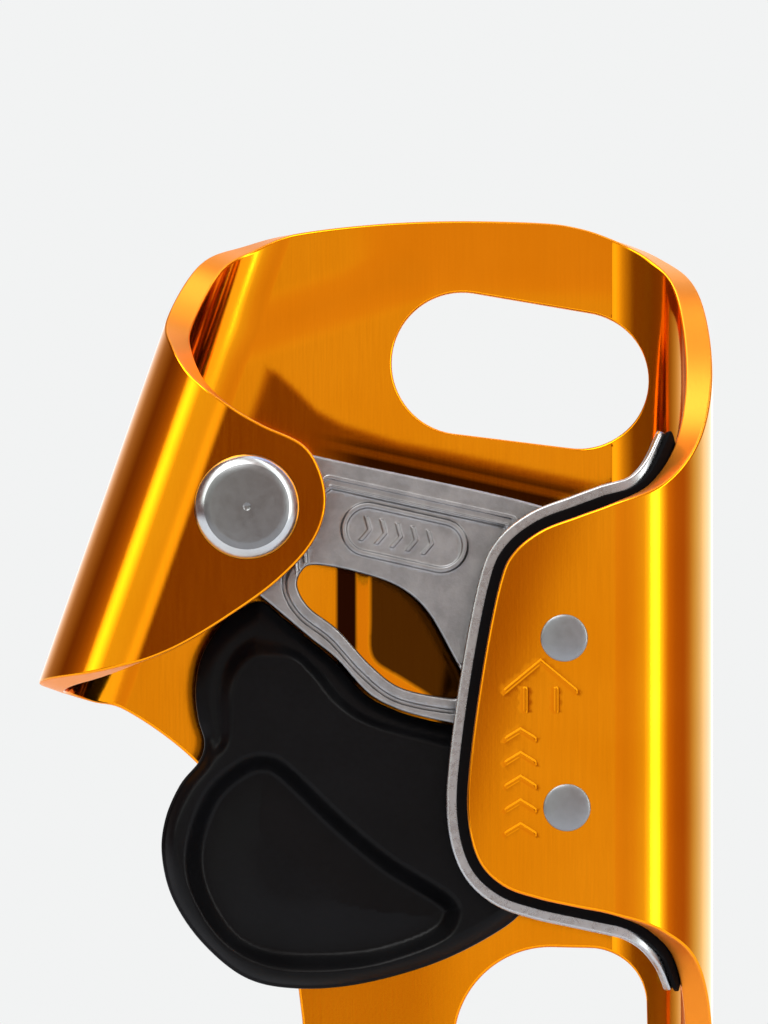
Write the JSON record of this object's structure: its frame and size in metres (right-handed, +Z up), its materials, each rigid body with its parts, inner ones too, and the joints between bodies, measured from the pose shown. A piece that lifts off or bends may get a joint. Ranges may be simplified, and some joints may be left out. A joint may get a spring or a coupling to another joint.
{
  "type": "chest ascender",
  "caption": "Chest rope clamp: a bent anodised plate with an upper and a lower eye, a lined rope channel, a sprung toothed cam on an axle and a black trigger hung from the cam.",
  "frame": {"origin": "centre of the lower eye, halfway through the back plate", "axes": "+Z up along the rope, +X towards the rope channel, front faces -Y"},
  "size_m": [0.0742, 0.0249, 0.1124],
  "materials": {
    "anodised_plate": "satin orange-gold anodised, brushed lightly",
    "cast_cam": "investment cast, plated, satin",
    "stainless": "polished stainless",
    "rivet_steel": "turned steel",
    "spring_steel": "drawn wire",
    "black_strip": "matt black strip",
    "black_nylon": "moulded, fine grain",
    "bronze": "sintered bronze"
  },
  "bodies": {
    "body": {"frame": "anodised_plate", "wear_liner": "stainless", "insulating_strip": "black_strip", "upper_liner_rivet": "rivet_steel", "lower_liner_rivet": "rivet_steel", "cam_axle": "rivet_steel", "axle_rear_washer": "rivet_steel", "front_thrust_washer": "stainless", "rear_thrust_washer": "stainless"},
    "cam": {"cam": "cast_cam", "cam_bush": "bronze", "cam_spring": "spring_steel", "trigger_pin": "rivet_steel", "trigger_pin_washer": "rivet_steel"},
    "trigger": {"trigger": "black_nylon", "trigger_spring": "spring_steel"}
  },
  "joints": [
    {"name": "cam_pivot", "type": "hinge", "parent": "body", "child": "cam", "pos_m": [-0.0334, -0.0085, 0.0592], "axis": [0, 1, 0], "range_deg": [0, 28], "stiffness_Nm_per_rad": 0.03, "springref_deg": -22.92, "deforming": ["cam_spring"]},
    {"name": "trigger_pivot", "type": "hinge", "parent": "cam", "child": "trigger", "pos_m": [-0.004, -0.0085, 0.0301], "axis": [0, 1, 0], "range_deg": [-10, 0], "stiffness_Nm_per_rad": 0.01, "springref_deg": 22.92, "deforming": ["trigger_spring"]}
  ]
}
